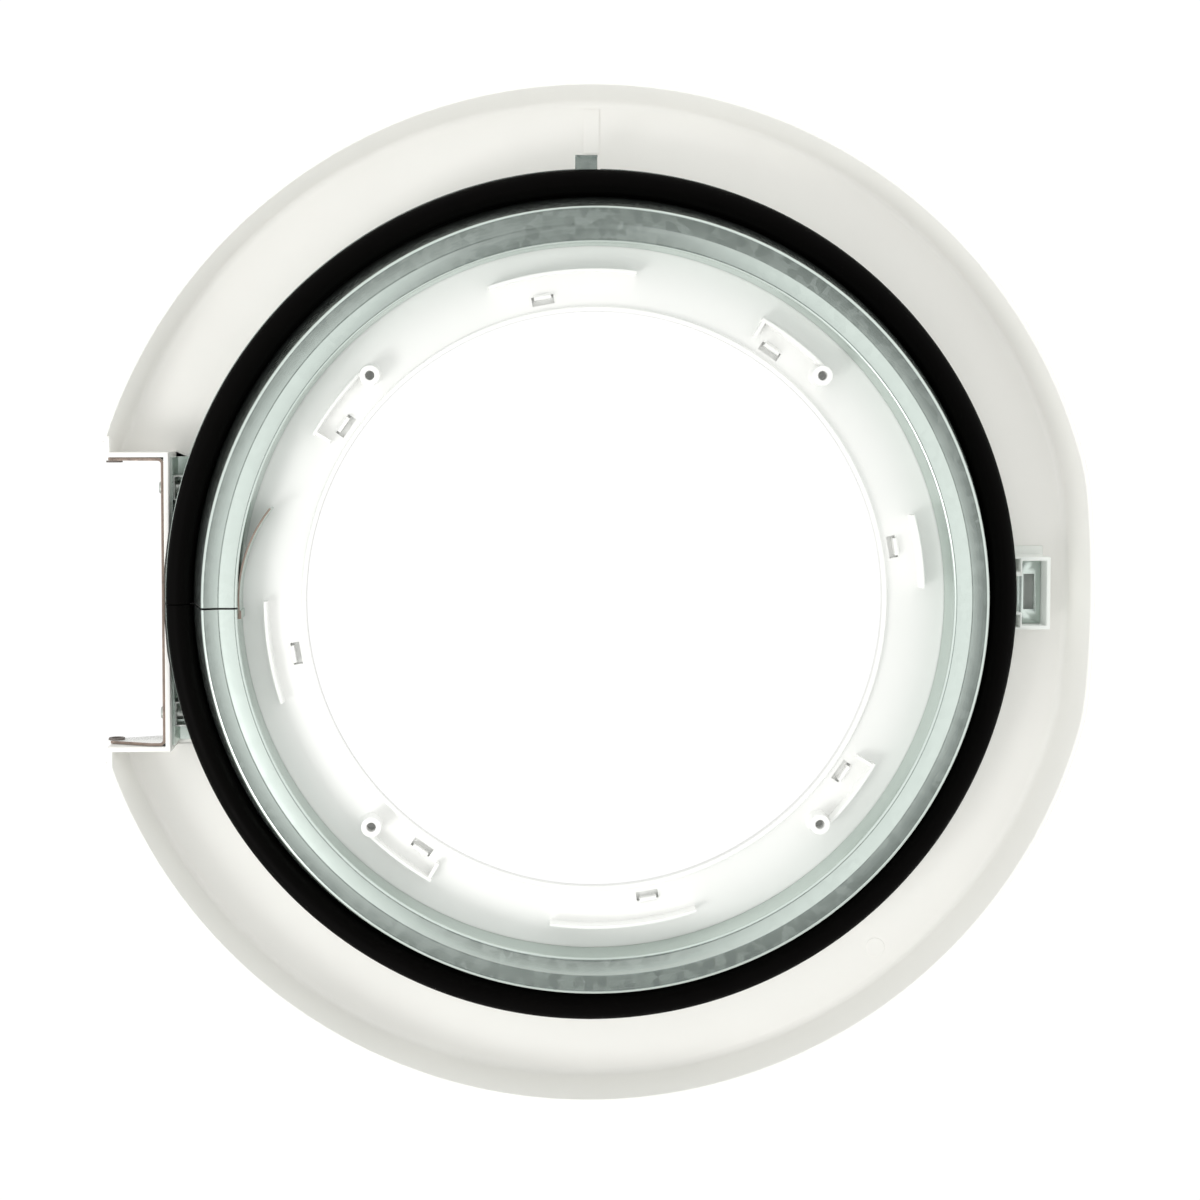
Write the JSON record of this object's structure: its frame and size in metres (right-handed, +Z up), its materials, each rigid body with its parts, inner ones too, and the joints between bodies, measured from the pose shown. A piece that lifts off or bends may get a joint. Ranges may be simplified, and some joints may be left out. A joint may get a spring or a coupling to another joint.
{
  "type": "tumble dryer door",
  "caption": "Round tumble dryer door with a moulded front panel, a window bezel without glass, a galvanised barrel ring with rubber seal, a hinge bracket and a latch socket.",
  "frame": {"origin": "door axis at the plane of the front face", "axes": "+Z up as the door hangs, +X towards the latch, +Y out of the front face, so the drum side looks along -Y"},
  "size_m": [0.5, 0.062, 0.5159],
  "materials": {
    "panel_white": "smooth white moulding with a soft gloss",
    "bezel_white": "satin white moulding",
    "trim_white": "smooth white moulding",
    "galvanised_sheet": "galvanised sheet, faintly spangled, greenish grey",
    "seal_rubber": "black rubber with a faint brown sheen",
    "bracket_paint": "white paint with bare, darkened cut edges",
    "zinc_screw": "zinc plated",
    "spring_steel": "zinc plated spring steel",
    "bush_plastic": "dark bearing plastic",
    "latch_white": "satin white moulding"
  },
  "bodies": {
    "root": {"front_panel": "panel_white", "window_bezel": "bezel_white", "front_trim_ring": "trim_white", "barrel_ring": "galvanised_sheet", "door_seal": "seal_rubber", "hinge_bracket": "bracket_paint", "hinge_reinforcement": "galvanised_sheet", "hinge_screw_upper": "zinc_screw", "hinge_screw_lower": "zinc_screw", "nut_clip_upper": "spring_steel", "nut_clip_lower": "spring_steel", "hinge_bush_upper": "bush_plastic", "hinge_bush_lower": "bush_plastic", "hinge_rivet_upper": "zinc_screw", "hinge_rivet_lower": "zinc_screw", "latch_housing": "latch_white", "latch_strike": "galvanised_sheet", "foot_screws": "zinc_screw", "ring_screws": "zinc_screw"}
  },
  "joints": []
}
